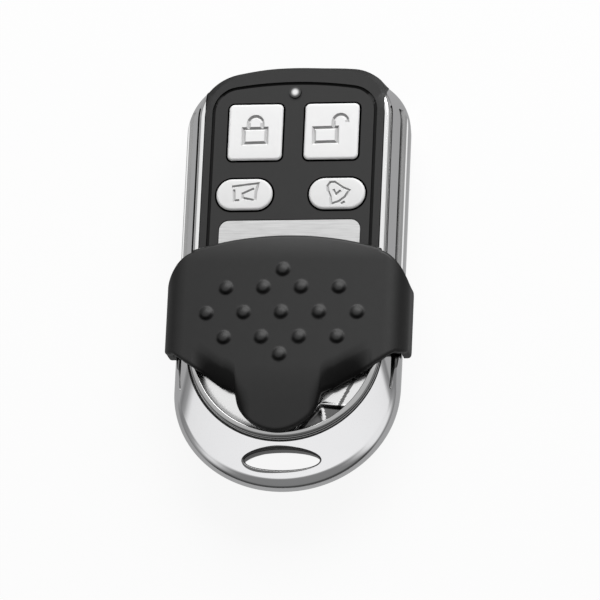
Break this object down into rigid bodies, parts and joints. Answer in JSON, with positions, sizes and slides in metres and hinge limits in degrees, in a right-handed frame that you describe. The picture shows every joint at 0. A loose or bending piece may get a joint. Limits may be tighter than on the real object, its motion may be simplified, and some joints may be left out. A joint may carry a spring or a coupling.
{
  "type": "door opener remote",
  "caption": "Key-fob door opener remote: chrome frame with a ring eye, black key panel, square and pill keys, and a sliding cover with grip bumps.",
  "frame": {"origin": "middle of the flat back, at the centre of the outer box's lowest face", "axes": "+X across the keys to the right as they are read, +Y along the body from the ring eye to the indicator, +Z out of the key panel"},
  "size_m": [0.0374, 0.0662, 0.0142],
  "materials": {
    "bright_chrome": "polished",
    "black_plastic": "fine grain",
    "brushed_plate": "satin",
    "clear_lens": "clear",
    "board_laminate": "solder resist",
    "diode_resin": "clear",
    "chip_resin": "moulded",
    "tinned_can": "tinned",
    "capacitor_ceramic": "fired",
    "copper_track": "bare copper",
    "cell_can": "satin",
    "contact_spring": "nickel plated",
    "screw_steel": "zinc plated",
    "soft_touch_cover": "soft touch",
    "pale_key": "satin",
    "switch_case": "moulded",
    "switch_plunger": "moulded"
  },
  "bodies": {
    "housing": {"chrome_frame": "bright_chrome", "front_shell": "black_plastic", "rear_shell": "black_plastic", "label_plate": "brushed_plate", "indicator_lens": "clear_lens", "circuit_board": "board_laminate", "indicator_led": "diode_resin", "encoder_chip": "chip_resin", "resonator": "tinned_can", "transmitter_transistor": "chip_resin", "chip_resistors": "chip_resin", "chip_capacitors": "capacitor_ceramic", "antenna_loop": "copper_track", "battery": "cell_can", "battery_contact_positive": "contact_spring", "battery_contact_negative": "contact_spring", "case_screws": "screw_steel", "lock_switch_base": "switch_case", "unlock_switch_base": "switch_case", "boot_switch_base": "switch_case", "alarm_switch_base": "switch_case"},
    "cover": {"slide_cover": "soft_touch_cover"},
    "lock_key": {"lock_button": "pale_key", "lock_switch_stem": "switch_plunger"},
    "unlock_key": {"unlock_button": "pale_key", "unlock_switch_stem": "switch_plunger"},
    "boot_key": {"boot_button": "pale_key", "boot_switch_stem": "switch_plunger"},
    "alarm_key": {"alarm_button": "pale_key", "alarm_switch_stem": "switch_plunger"}
  },
  "joints": [
    {"name": "cover_slide", "type": "slide", "parent": "housing", "child": "cover", "axis": [0, 1, 0], "range_m": [0, 0.022]},
    {"name": "lock_press", "type": "slide", "parent": "housing", "child": "lock_key", "axis": [0, 0, -1], "range_m": [0, 0.0003], "stiffness_N_per_m": 7000},
    {"name": "unlock_press", "type": "slide", "parent": "housing", "child": "unlock_key", "axis": [0, 0, -1], "range_m": [0, 0.0003], "stiffness_N_per_m": 7000},
    {"name": "boot_press", "type": "slide", "parent": "housing", "child": "boot_key", "axis": [0, 0, -1], "range_m": [0, 0.0003], "stiffness_N_per_m": 7000},
    {"name": "alarm_press", "type": "slide", "parent": "housing", "child": "alarm_key", "axis": [0, 0, -1], "range_m": [0, 0.0003], "stiffness_N_per_m": 7000}
  ]
}
